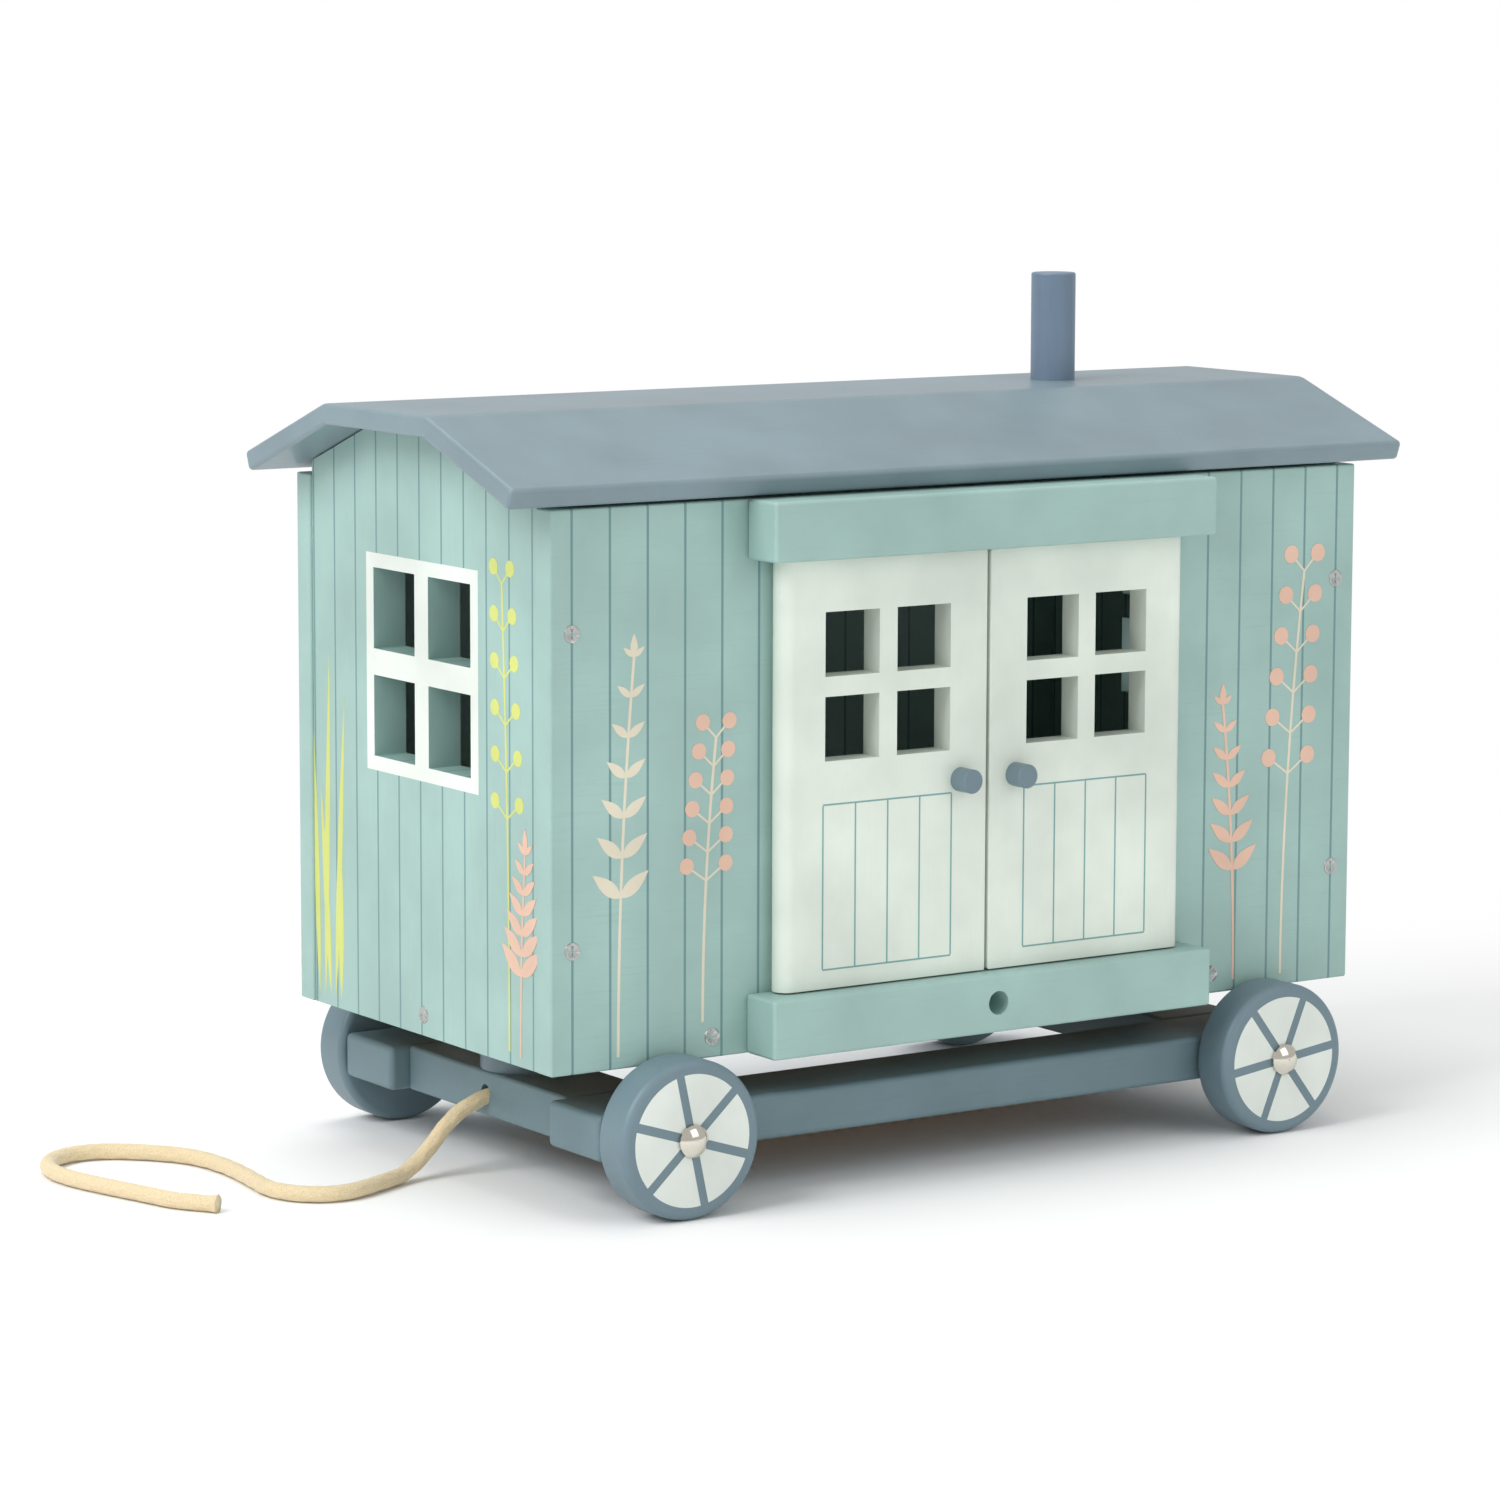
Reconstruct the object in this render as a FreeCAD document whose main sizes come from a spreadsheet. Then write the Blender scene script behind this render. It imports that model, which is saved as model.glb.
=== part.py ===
"""Toy shepherd hut: a hollow wooden cabin with a lift-off roof and two hinged doors,
on a wheeled chassis with a pull cord.

Frame: origin on the floor under the middle of the hut, +X towards the pull cord,
+Y towards the door side, +Z up. Millimetres.
"""
import FreeCAD, Part
import math
import os

Vector = FreeCAD.Vector
Rotation = FreeCAD.Rotation

# ---------------------------------------------------------------- driving dimensions
SIZES = [
    # cabin
    ("hut_length", 326), ("hut_width", 164), ("hut_base", 48), ("side_height", 180),
    ("side_thick", 9), ("end_thick", 12), ("end_inset", 1), ("floor_thick", 12),
    ("floor_inset", 1), ("corner_round", 0.8), ("panel_gap", 0.1),
    # roof
    ("roof_length", 360), ("roof_width", 174), ("roof_flat_width", 66), ("roof_thick", 7),
    ("roof_drop", 19.6), ("roof_top", 254.8), ("roof_bend_round", 12), ("roof_edge_round", 1.6),
    ("roof_seat_gap", 0.2), ("gable_slope_gap", 0.9),
    ("chimney_dia", 15.5), ("chimney_height", 37.5), ("chimney_back", 93.5),
    ("chimney_round", 0.8),
    # end windows: four panes, two by two
    ("window_pane", 27), ("window_bar", 8.8), ("window_centre", 168.7),
    # doorway
    ("opening_width", 154), ("lintel_length", 178.5), ("lintel_depth", 16.5),
    ("lintel_height", 19.5), ("lintel_round", 1.2),
    ("door_width", 81), ("door_thick", 9), ("door_back_gap", 0.3), ("door_top_gap", 0.8),
    ("door_foot_gap", 0.6), ("door_middle_gap", 1.2), ("door_round", 0.6),
    ("door_pane_width", 21.3), ("door_pane_height", 21), ("door_bar_width", 7),
    ("door_bar_height", 6.5), ("door_pane_shift", 0.8), ("door_pane_drop", 16.7),
    ("hinge_pin_dia", 4), ("hinge_pin_reach", 7), ("hinge_pin_clear", 0.08),
    ("knob_dia", 8), ("knob_length", 7.5), ("knob_inset", 11.2), ("knob_height", 64.5),
    ("knob_chamfer", 0.6), ("peg_hole_dia", 8), ("peg_hole_depth", 10),
    # chassis
    ("rail_length", 291), ("rail_width", 31.6), ("rail_thick", 15.2), ("rail_round", 2),
    ("chassis_width", 165.2), ("cross_width", 32), ("cross_inset", 7), ("cross_round", 1.2),
    ("spacer_dia", 31),
    ("wheel_base", 242), ("wheel_dia", 52), ("wheel_thick", 15.8), ("wheel_round", 2.5),
    ("wheel_gap", 1), ("axle_dia", 5), ("axle_clear", 0.08), ("axle_end", 1.6),
    ("cap_dia", 10.6), ("cap_height", 3), ("cap_gap", 0.3),
    # pull cord
    ("cord_dia", 5.3), ("cord_hole_dia", 6), ("cord_hole_depth", 12),
]

doc = FreeCAD.newDocument("shepherd_hut")
sheet = doc.addObject("Spreadsheet::Sheet", "Sizes")
for row, (alias, value) in enumerate(SIZES, start=1):
    sheet.set("A%d" % row, alias)
    sheet.set("B%d" % row, str(value))
    sheet.setAlias("B%d" % row, alias)
doc.recompute()
SIZE = {alias: float(sheet.get(alias)) for alias, _ in SIZES}
PARTS = []


def expr(text):
    """An expression in which every sheet alias is written as Sizes.alias."""
    words = []
    word = ""
    for letter in text + " ":
        if letter.isalnum() or letter == "_":
            word += letter
            continue
        words.append("Sizes." + word if word in SIZE else word)
        words.append(letter)
        word = ""
    return "".join(words).strip()


def bind(item, **formulas):
    for name, formula in formulas.items():
        item.setExpression(name, expr(formula))


def place(item, x="0", y="0", z="0"):
    """Bind where an object's own origin lies."""
    for axis, formula in (("x", x), ("y", y), ("z", z)):
        item.setExpression("Placement.Base." + axis, expr(formula))


def new_body(label):
    body = doc.addObject("PartDesign::Body", label)
    body.Label = label
    PARTS.append(body)
    return body


def add_block(body, name, kind, size, corner):
    """A box feature: kind is AdditiveBox or SubtractiveBox."""
    block = body.newObject("PartDesign::" + kind, name)
    bind(block, Length=size[0], Width=size[1], Height=size[2])
    place(block, *corner)
    doc.recompute()
    return block


def add_rod(body, name, kind, radius, length, start, direction):
    """A cylinder feature from start along direction, which is a unit vector."""
    rod = body.newObject("PartDesign::" + kind, name)
    bind(rod, Radius=radius, Height=length)
    rod.Placement = FreeCAD.Placement(Vector(), Rotation(Vector(0, 0, 1), Vector(*direction)))
    place(rod, *start)
    doc.recompute()
    return rod


def soften(body, name, feature, radius, edges=None):
    """Round edges of the body's last feature: all of them, or those edges() picks."""
    names = []
    for number, edge in enumerate(feature.Shape.Edges, start=1):
        if edges is None or edges(edge):
            names.append("Edge%d" % number)
    fillet = body.newObject("PartDesign::Fillet", name)
    fillet.Base = (feature, names)
    bind(fillet, Radius=radius)
    doc.recompute()
    return fillet


def plane(body, role):
    for feature in body.Origin.OriginFeatures:
        if feature.Role == role:
            return feature
    raise ValueError(role)


def board(label, size, base, radius=None):
    """A rectangular board: size and the centre of its underside are formulas."""
    body = new_body(label)
    corner = ("-(%s)/2" % size[0], "-(%s)/2" % size[1], "0")
    block = add_block(body, label + "_blank", "AdditiveBox", size, corner)
    if radius:
        soften(body, label + "_edges", block, radius)
    place(body, *base)
    return body


def along_z(edge):
    return abs(edge.tangentAt(edge.FirstParameter).z) > 0.99 and edge.Length > 1


# ---------------------------------------------------------------- cabin
# The roof's slopes fall by roof_drop from the flat's edge to the eave's tip.
slope_run = (SIZE["roof_width"] - SIZE["roof_flat_width"]) / 2
slope_angle = math.atan2(SIZE["roof_drop"], slope_run)
slope_rise = math.tan(slope_angle)
under_shift = SIZE["roof_thick"] * math.tan(slope_angle / 2)
roof_under = SIZE["roof_top"] - SIZE["roof_thick"]


def end_wall(label, side):
    """A gable end: a board whose top follows the roof, with four panes cut through."""
    body = new_body(label)
    sketch = body.newObject("Sketcher::SketchObject", label + "_outline")
    sketch.AttachmentSupport = [(plane(body, "YZ_Plane"), "")]
    sketch.MapMode = "FlatFace"
    half = SIZE["hut_width"] / 2 - SIZE["side_thick"] - SIZE["panel_gap"]
    flat = SIZE["roof_flat_width"] / 2 - under_shift - SIZE["gable_slope_gap"]
    peak = roof_under - SIZE["roof_seat_gap"] - SIZE["hut_base"]
    shoulder = peak - (half - flat) * slope_rise
    outline = [(-half, 0), (half, 0), (half, shoulder), (flat, peak), (-flat, peak),
               (-half, shoulder)]
    for start, end in zip(outline, outline[1:] + outline[:1]):
        sketch.addGeometry(Part.LineSegment(Vector(*start, 0), Vector(*end, 0)), False)
    doc.recompute()
    pad = body.newObject("PartDesign::Pad", label + "_board")
    pad.Profile = sketch
    bind(pad, Length="end_thick")
    doc.recompute()
    for row, column in ((0, 0), (0, 1), (1, 0), (1, 1)):
        left = "window_bar/2" if column else "-window_bar/2 - window_pane"
        low = "window_centre - hut_base + "
        low += "window_bar/2" if row else "-window_bar/2 - window_pane"
        add_block(body, "%s_pane_%d%d" % (label, row, column), "SubtractiveBox",
                  ("end_thick*3", "window_pane", "window_pane"), ("-end_thick", left, low))
    outer = "hut_length/2 - end_inset"
    place(body, outer + " - end_thick" if side > 0 else "-(%s)" % outer, "0", "hut_base")
    return body


front_end = end_wall("front_end_wall", 1)
rear_end = end_wall("rear_end_wall", -1)

side_size = ("hut_length", "side_thick", "side_height")
side_middle = "(hut_width - side_thick)/2"
plain_side = board("plain_side_wall", side_size, ("0", "-(%s)" % side_middle, "hut_base"),
                   "corner_round")
door_side = board("door_side_wall", side_size, ("0", side_middle, "hut_base"), "corner_round")
opening_height = "side_height - lintel_height*2"
add_block(door_side, "doorway", "SubtractiveBox",
          ("opening_width", "side_thick*3", opening_height),
          ("-opening_width/2", "-side_thick*1.5", "lintel_height"))

floor_size = ("hut_length - (end_inset + end_thick + panel_gap)*2",
              "hut_width - (side_thick + panel_gap)*2", "floor_thick")
board("floor_board", floor_size, ("0", "0", "hut_base + floor_inset"))

# ---------------------------------------------------------------- doorway
lintel_size = ("lintel_length", "lintel_depth", "lintel_height")
lintel_middle = "(hut_width + lintel_depth)/2"
header_base = "hut_base + side_height - lintel_height"
sill = board("door_sill", lintel_size, ("0", lintel_middle, "hut_base"), "lintel_round")
header = board("door_header", lintel_size, ("0", lintel_middle, header_base), "lintel_round")

# Each door turns on two dowels whose axis is the centre of its rounded outer edge.
hinge_x = "door_width + door_middle_gap/2 - door_thick/2"
hinge_y = "hut_width/2 + door_back_gap + door_thick/2"
hinge_local_y = "(%s) - (%s)" % (hinge_y, lintel_middle)
for side, name in ((1, "front"), (-1, "rear")):
    at_x = hinge_x if side > 0 else "-(%s)" % hinge_x
    hole_radius = "hinge_pin_dia/2 + hinge_pin_clear"
    hole_depth = "hinge_pin_reach + 1"
    add_rod(sill, name + "_sill_hole", "SubtractiveCylinder", hole_radius, hole_depth,
            (at_x, hinge_local_y, "lintel_height - (%s)" % hole_depth), (0, 0, 1))
    add_rod(header, name + "_header_hole", "SubtractiveCylinder", hole_radius, hole_depth,
            (at_x, hinge_local_y, "0"), (0, 0, 1))
add_rod(sill, "peg_hole", "SubtractiveCylinder", "peg_hole_dia/2", "peg_hole_depth + 1",
        ("0", "lintel_depth/2 - peg_hole_depth", "lintel_height/2 + 0.25"), (0, 1, 0))

door_base = "hut_base + lintel_height + door_foot_gap"
door_height = "side_height - lintel_height*2 - door_foot_gap - door_top_gap"


def door(name, side):
    """A door leaf about its hinge axis: rounded outer edge, four panes, two dowel holes."""
    label = name + "_door"
    body = new_body(label)
    leaf = "door_width - door_thick/2"
    towards_middle = "-(%s)" % leaf if side > 0 else "0"
    block = add_block(body, label + "_leaf", "AdditiveBox",
                      (leaf, "door_thick", door_height), (towards_middle, "-door_thick/2", "0"))
    soften(body, label + "_edges", block, "door_round",
           lambda edge: all(abs(v.X) > 1 for v in edge.Vertexes))
    add_rod(body, label + "_nose", "AdditiveCylinder", "door_thick/2", door_height,
            ("0", "0", "0"), (0, 0, 1))
    block_width = "(door_pane_width*2 + door_bar_width)"
    centre = "((%s)/2 - door_thick/4 + door_pane_shift)" % leaf
    top = "(%s) - door_pane_drop" % door_height
    for row, column in ((0, 0), (0, 1), (1, 0), (1, 1)):
        step = "%d*(door_pane_width + door_bar_width)" % column
        if side > 0:
            left = "-%s - %s/2 + %s" % (centre, block_width, step)
        else:
            left = "%s - %s/2 + %s" % (centre, block_width, step)
        low = "%s - door_pane_height - %d*(door_pane_height + door_bar_height)" % (top, row)
        add_block(body, "%s_pane_%d%d" % (label, row, column), "SubtractiveBox",
                  ("door_pane_width", "door_thick*3", "door_pane_height"),
                  (left, "-door_thick*1.5", low))
    for end, base in (("foot", "0"), ("head", "(%s) - hinge_pin_reach" % door_height)):
        add_rod(body, "%s_%s_hole" % (label, end), "SubtractiveCylinder", "hinge_pin_dia/2",
                "hinge_pin_reach", ("0", "0", base), (0, 0, 1))
    place(body, hinge_x if side > 0 else "-(%s)" % hinge_x, hinge_y, door_base)
    return body


def dowel(label, radius, length, base, direction=(0, 0, 1)):
    body = new_body(label)
    rod = add_rod(body, label + "_rod", "AdditiveCylinder", radius, length,
                  ("0", "0", "0"), direction)
    place(body, *base)
    return body, rod


for side, name in ((1, "front"), (-1, "rear")):
    door(name, side)
    at_x = hinge_x if side > 0 else "-(%s)" % hinge_x
    foot_base = "hut_base + lintel_height - hinge_pin_reach"
    head_base = "(%s) + (%s) - hinge_pin_reach" % (door_base, door_height)
    dowel(name + "_door_foot_pin", "hinge_pin_dia/2", "hinge_pin_reach*2 + door_foot_gap",
          (at_x, hinge_y, foot_base))
    dowel(name + "_door_head_pin", "hinge_pin_dia/2", "hinge_pin_reach*2 + door_top_gap",
          (at_x, hinge_y, head_base))
    knob_x = "knob_inset" if side > 0 else "-knob_inset"
    knob_y = "hut_width/2 + door_back_gap + door_thick"
    knob, rod = dowel(name + "_door_knob", "knob_dia/2", "knob_length",
                      (knob_x, knob_y, "(%s) + knob_height" % door_base), (0, 1, 0))
    rim = body_edges = [number for number, edge in enumerate(rod.Shape.Edges, start=1)
                        if edge.BoundBox.YMin > SIZE["knob_length"] - 0.01]
    chamfer = knob.newObject("PartDesign::Chamfer", name + "_knob_rim")
    chamfer.Base = (rod, ["Edge%d" % number for number in rim])
    bind(chamfer, Size="knob_chamfer")
    doc.recompute()

# ---------------------------------------------------------------- roof
half_flat = SIZE["roof_flat_width"] / 2
half_roof = SIZE["roof_width"] / 2
eave_top = SIZE["roof_top"] - SIZE["roof_drop"]
tip_in = half_roof - SIZE["roof_thick"] * math.sin(slope_angle)
tip_low = eave_top - SIZE["roof_thick"] * math.cos(slope_angle)
under_half = half_flat - under_shift
roof_outline = [(-half_roof, eave_top), (-half_flat, SIZE["roof_top"]),
                (half_flat, SIZE["roof_top"]), (half_roof, eave_top), (tip_in, tip_low),
                (under_half, roof_under), (-under_half, roof_under), (-tip_in, tip_low)]
roof_blank = doc.addObject("PartDesign::Body", "roof_blank")
roof_sketch = roof_blank.newObject("Sketcher::SketchObject", "roof_outline")
roof_sketch.AttachmentSupport = [(plane(roof_blank, "YZ_Plane"), "")]
roof_sketch.MapMode = "FlatFace"
for start, end in zip(roof_outline, roof_outline[1:] + roof_outline[:1]):
    roof_sketch.addGeometry(Part.LineSegment(Vector(*start, 0), Vector(*end, 0)), False)
doc.recompute()
roof_pad = roof_blank.newObject("PartDesign::Pad", "roof_shell")
roof_pad.Profile = roof_sketch
roof_pad.Midplane = True
bind(roof_pad, Length="roof_length")
doc.recompute()


def on_bend(edge):
    box = edge.BoundBox
    along = box.XLength > SIZE["roof_length"] - 1
    return along and abs(box.ZMax - SIZE["roof_top"]) < 0.01


bend = soften(roof_blank, "roof_bends", roof_pad, "roof_bend_round", on_bend)
soften(roof_blank, "roof_edges", bend, "roof_edge_round",
       lambda edge: edge.BoundBox.XLength < 1 or abs(edge.BoundBox.YMax) > half_flat + 20
       or abs(edge.BoundBox.YMin) > half_flat + 20)


def roof_board(label, low, high):
    """The part of the roof between two mitres, each given by its y at top and underside."""
    body = doc.addObject("PartDesign::Body", label + "_span")
    sketch = body.newObject("Sketcher::SketchObject", label + "_span_outline")
    sketch.AttachmentSupport = [(plane(body, "YZ_Plane"), "")]
    sketch.MapMode = "FlatFace"
    over = 10
    tilt = under_shift / SIZE["roof_thick"]
    points = []
    for side, (y_top, leans) in ((-1, low), (1, high)):
        top = (y_top + leans * tilt * over, SIZE["roof_top"] + over)
        under = (y_top - leans * tilt * 60, SIZE["roof_top"] - 60)
        points += [top, under] if side > 0 else [under, top]
    for start, end in zip(points, points[1:] + points[:1]):
        sketch.addGeometry(Part.LineSegment(Vector(*start, 0), Vector(*end, 0)), False)
    doc.recompute()
    pad = body.newObject("PartDesign::Pad", label + "_span_pad")
    pad.Profile = sketch
    pad.Midplane = True
    bind(pad, Length="roof_length + 10")
    doc.recompute()
    common = doc.addObject("Part::Common", label)
    common.Base = roof_blank
    common.Tool = body
    common.Label = label
    PARTS.append(common)
    doc.recompute()


roof_board("roof_top_board", (-half_flat, -1), (half_flat, 1))
roof_board("roof_door_side_board", (half_flat, 1), (half_roof + 20, 0))
roof_board("roof_plain_side_board", (-half_roof - 20, 0), (-half_flat, -1))

chimney, chimney_rod = dowel("chimney", "chimney_dia/2", "chimney_height",
                             ("-chimney_back", "0", "roof_top"))
soften(chimney, "chimney_rim", chimney_rod, "chimney_round",
       lambda edge: edge.BoundBox.ZMin > 1)

# ---------------------------------------------------------------- chassis
rail_base = "wheel_dia/2 - rail_thick/2"
rail_y = "(chassis_width - rail_width)/2"
axle_x = "wheel_base/2"
for side, name in ((1, "left"), (-1, "right")):
    rail = board(name + "_rail", ("rail_length", "rail_width", "rail_thick"),
                 ("0", "%d*(%s)" % (side, rail_y), rail_base), "rail_round")
    for end, place_x in (("front", axle_x), ("rear", "-" + axle_x)):
        add_rod(rail, "%s_%s_axle_hole" % (name, end), "SubtractiveCylinder", "axle_dia/2",
                "rail_width + 2", (place_x, "-rail_width/2 - 1", "rail_thick/2"), (0, 1, 0))

cross_x = "rail_length/2 - cross_inset - cross_width/2"
cross_size = ("cross_width", "chassis_width - (rail_width + panel_gap)*2", "rail_thick")
front_cross = board("front_cross_board", cross_size, (cross_x, "0", rail_base), "cross_round")
rear_cross = board("rear_cross_board", cross_size, ("-(%s)" % cross_x, "0", rail_base),
                   "cross_round")
for end, cross, sign in (("front", front_cross, 1), ("rear", rear_cross, -1)):
    offset = "%d*(wheel_base/2 - (%s))" % (sign, cross_x)
    add_rod(cross, end + "_cross_axle_hole", "SubtractiveCylinder", "axle_dia/2",
            "chassis_width", (offset, "-chassis_width/2", "rail_thick/2"), (0, 1, 0))
add_rod(front_cross, "cord_hole", "SubtractiveCylinder", "cord_hole_dia/2",
        "cord_hole_depth + 1", ("cross_width/2 - cord_hole_depth", "0", "rail_thick/2"),
        (1, 0, 0))

spacer_base = "(%s) + rail_thick" % rail_base
for sign, name in ((1, "front"), (-1, "rear")):
    dowel(name + "_spacer", "spacer_dia/2", "hut_base + floor_inset - (%s)" % spacer_base,
          ("%d*(%s)" % (sign, cross_x), "0", spacer_base))

# ---------------------------------------------------------------- wheels
wheel_in = "chassis_width/2 + wheel_gap"
axle_half = "(%s) + wheel_thick + cap_gap + axle_end" % wheel_in


def wheel(label, end, side):
    """A disc wheel with rounded rims and a running bore."""
    body = new_body(label)
    disc = add_rod(body, label + "_disc", "AdditiveCylinder", "wheel_dia/2", "wheel_thick",
                   ("0", "0", "0"), (0, 1, 0))
    soften(body, label + "_rims", disc, "wheel_round",
           lambda edge: edge.BoundBox.YLength < 0.01)
    add_rod(body, label + "_bore", "SubtractiveCylinder", "axle_dia/2 + axle_clear",
            "wheel_thick + 2", ("0", "-1", "0"), (0, 1, 0))
    inner = wheel_in if side > 0 else "-(%s) - wheel_thick" % wheel_in
    place(body, "%d*%s" % (end, axle_x), inner, "wheel_dia/2")


def axle_cap(label, end, side):
    """A domed push-on cap: part of a sphere, with a blind hole for the axle's end."""
    body = new_body(label)
    sketch = body.newObject("Sketcher::SketchObject", label + "_section")
    sketch.AttachmentSupport = [(plane(body, "XY_Plane"), "")]
    sketch.MapMode = "FlatFace"
    radius = SIZE["cap_dia"] / 2
    height = SIZE["cap_height"]
    hole = SIZE["axle_dia"] / 2
    deep = SIZE["axle_end"]
    rim = 0.8
    crown = height - rim
    ball = (radius ** 2 + crown ** 2) / (2 * crown)
    centre = Vector(0, height - ball, 0)
    points = [Vector(0, height, 0), Vector(radius, rim, 0), Vector(radius, 0, 0),
              Vector(hole, 0, 0), Vector(hole, deep, 0), Vector(0, deep, 0)]
    start = math.atan2(rim - centre.y, radius)
    circle = Part.Circle(centre, Vector(0, 0, 1), ball)
    sketch.addGeometry(Part.ArcOfCircle(circle, start, math.pi / 2), False)
    for first, second in zip(points[1:], points[2:] + points[:1]):
        sketch.addGeometry(Part.LineSegment(first, second), False)
    doc.recompute()
    turn = body.newObject("PartDesign::Revolution", label + "_dome")
    turn.Profile = sketch
    turn.ReferenceAxis = (sketch, ["V_Axis"])
    turn.Angle = 360
    doc.recompute()
    base = "(%s) + wheel_thick + cap_gap" % wheel_in
    if side < 0:
        body.Placement = FreeCAD.Placement(Vector(), Rotation(Vector(1, 0, 0), 180))
    place(body, "%d*%s" % (end, axle_x), "%d*(%s)" % (side, base), "wheel_dia/2")


for end, end_name in ((1, "front"), (-1, "rear")):
    dowel(end_name + "_axle", "axle_dia/2", "2*(%s)" % axle_half,
          ("%d*%s" % (end, axle_x), "-(%s)" % axle_half, "wheel_dia/2"), (0, 1, 0))
    for side, side_name in ((1, "left"), (-1, "right")):
        wheel("%s_%s_wheel" % (end_name, side_name), end, side)
        axle_cap("%s_%s_axle_cap" % (end_name, side_name), end, side)

# ---------------------------------------------------------------- pull cord
# It leaves the hole in the front cross board level, drops to the floor and lies there in a
# loose S with a turn back. Points of the route, chosen by hand.
cord_floor = SIZE["cord_dia"] / 2 + 0.05
cord_exit = SIZE["wheel_dia"] / 2
cord_start = SIZE["rail_length"] / 2 - SIZE["cross_inset"] - SIZE["cord_hole_depth"]
CORD_ROUTE = [
    (126.5, 0, cord_exit), (146, 0, cord_exit), (165.5, -1, cord_floor),
    (184, 8.5, cord_floor), (199, 15, cord_floor), (211.5, 11, cord_floor),
    (218.5, -2.5, cord_floor), (215.5, -20, cord_floor), (213.5, -42, cord_floor),
    (216, -61, cord_floor), (226, -75, cord_floor), (238, -85, cord_floor),
    (250.5, -86, cord_floor), (261, -79, cord_floor), (266, -66.5, cord_floor),
    (265, -51.5, cord_floor), (260, -34, cord_floor), (254.5, -17, cord_floor),
    (251, -4, cord_floor), (242, 6.5, cord_floor),
]


def cord_path(route):
    """Straight runs joined by tangent arcs, each as large as its two runs allow."""
    points = [Vector(*point) for point in route]
    edges = []
    radii = []
    last = points[0]
    for before, corner, after in zip(points, points[1:], points[2:]):
        incoming = (corner - before).normalize()
        outgoing = (after - corner).normalize()
        half_turn = incoming.getAngle(outgoing) / 2
        cut = 0.45 * min((corner - before).Length, (after - corner).Length)
        radius = cut / math.tan(half_turn)
        radii.append(round(radius, 1))
        start = corner - incoming * cut
        end = corner + outgoing * cut
        inward = (outgoing - incoming).normalize()
        middle = corner + inward * (radius / math.cos(half_turn) - radius)
        edges.append(Part.LineSegment(last, start).toShape())
        edges.append(Part.Arc(start, middle, end).toShape())
        last = end
    edges.append(Part.LineSegment(last, points[-1]).toShape())
    return Part.Wire(edges), radii


cord_wire, cord_radii = cord_path(CORD_ROUTE)
cord_section = Part.Wire(Part.makeCircle(SIZE["cord_dia"] / 2, Vector(*CORD_ROUTE[0]),
                                         Vector(1, 0, 0)))
cord = doc.addObject("Part::Feature", "pull_cord")
cord.Label = "pull_cord"
cord.Shape = cord_wire.makePipeShell([cord_section], True, False)
PARTS.append(cord)
expected = math.pi * (SIZE["cord_dia"] / 2) ** 2 * cord_wire.Length
print("cord length %.1f, volume %.0f of %.0f" % (cord_wire.Length, cord.Shape.Volume, expected))
print("cord radii", cord_radii)

# ---------------------------------------------------------------- check and write
doc.recompute()
for item in doc.Objects:
    if "Invalid" in item.State or "Error" in item.State:
        raise RuntimeError("failed: %s %s" % (item.Name, item.State))
for item in PARTS:
    if item.Shape.isNull() or not item.Shape.isValid() or not item.Shape.Solids:
        raise RuntimeError("bad shape: " + item.Label)
os.makedirs("parts", exist_ok=True)
for item in PARTS:
    item.Shape.exportStep("parts/%s.step" % item.Label)
print("wrote %d parts" % len(PARTS))
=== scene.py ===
import bpy
import bmesh
import math
from mathutils import Matrix, Vector


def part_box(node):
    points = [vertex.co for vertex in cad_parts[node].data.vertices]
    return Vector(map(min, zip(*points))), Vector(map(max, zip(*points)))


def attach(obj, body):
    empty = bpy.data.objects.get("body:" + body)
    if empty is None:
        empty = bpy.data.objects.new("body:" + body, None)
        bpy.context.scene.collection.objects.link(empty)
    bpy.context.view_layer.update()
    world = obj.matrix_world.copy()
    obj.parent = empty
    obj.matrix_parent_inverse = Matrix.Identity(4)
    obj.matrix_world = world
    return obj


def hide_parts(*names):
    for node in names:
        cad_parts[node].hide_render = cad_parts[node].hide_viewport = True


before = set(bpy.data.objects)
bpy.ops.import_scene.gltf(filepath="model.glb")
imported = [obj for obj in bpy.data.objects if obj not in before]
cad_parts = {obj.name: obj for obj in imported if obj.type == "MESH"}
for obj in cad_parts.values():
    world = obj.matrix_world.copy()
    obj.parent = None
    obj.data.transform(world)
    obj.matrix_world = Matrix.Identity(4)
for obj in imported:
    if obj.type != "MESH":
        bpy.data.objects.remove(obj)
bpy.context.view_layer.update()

# Lengths are in metres, apart from outlines and named sizes that are multiplied by MM.
MM = 0.001
UP = Vector((0, 0, 1))

SKIN = 0.06 * MM       # how far a painted shape stands off the board
SKIN_STEP = 0.08 * MM  # how much higher each further colour on a wall stands
LAYER = 0.0004 * MM    # how much higher each outline stands than the one before


# ---------------------------------------------------------------- materials
def linear(red, green, blue):
    """An 8-bit display colour as the linear colour that renders as it."""
    def one(value):
        value /= 255
        return value / 12.92 if value <= 0.04045 else ((value + 0.055) / 1.055) ** 2.4
    return (one(red), one(green), one(blue), 1.0)


def toned(colour, factor, limit=1.0):
    """A linear colour made darker or lighter."""
    return tuple(min(value * factor, limit) for value in colour[:3]) + (1.0,)


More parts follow.
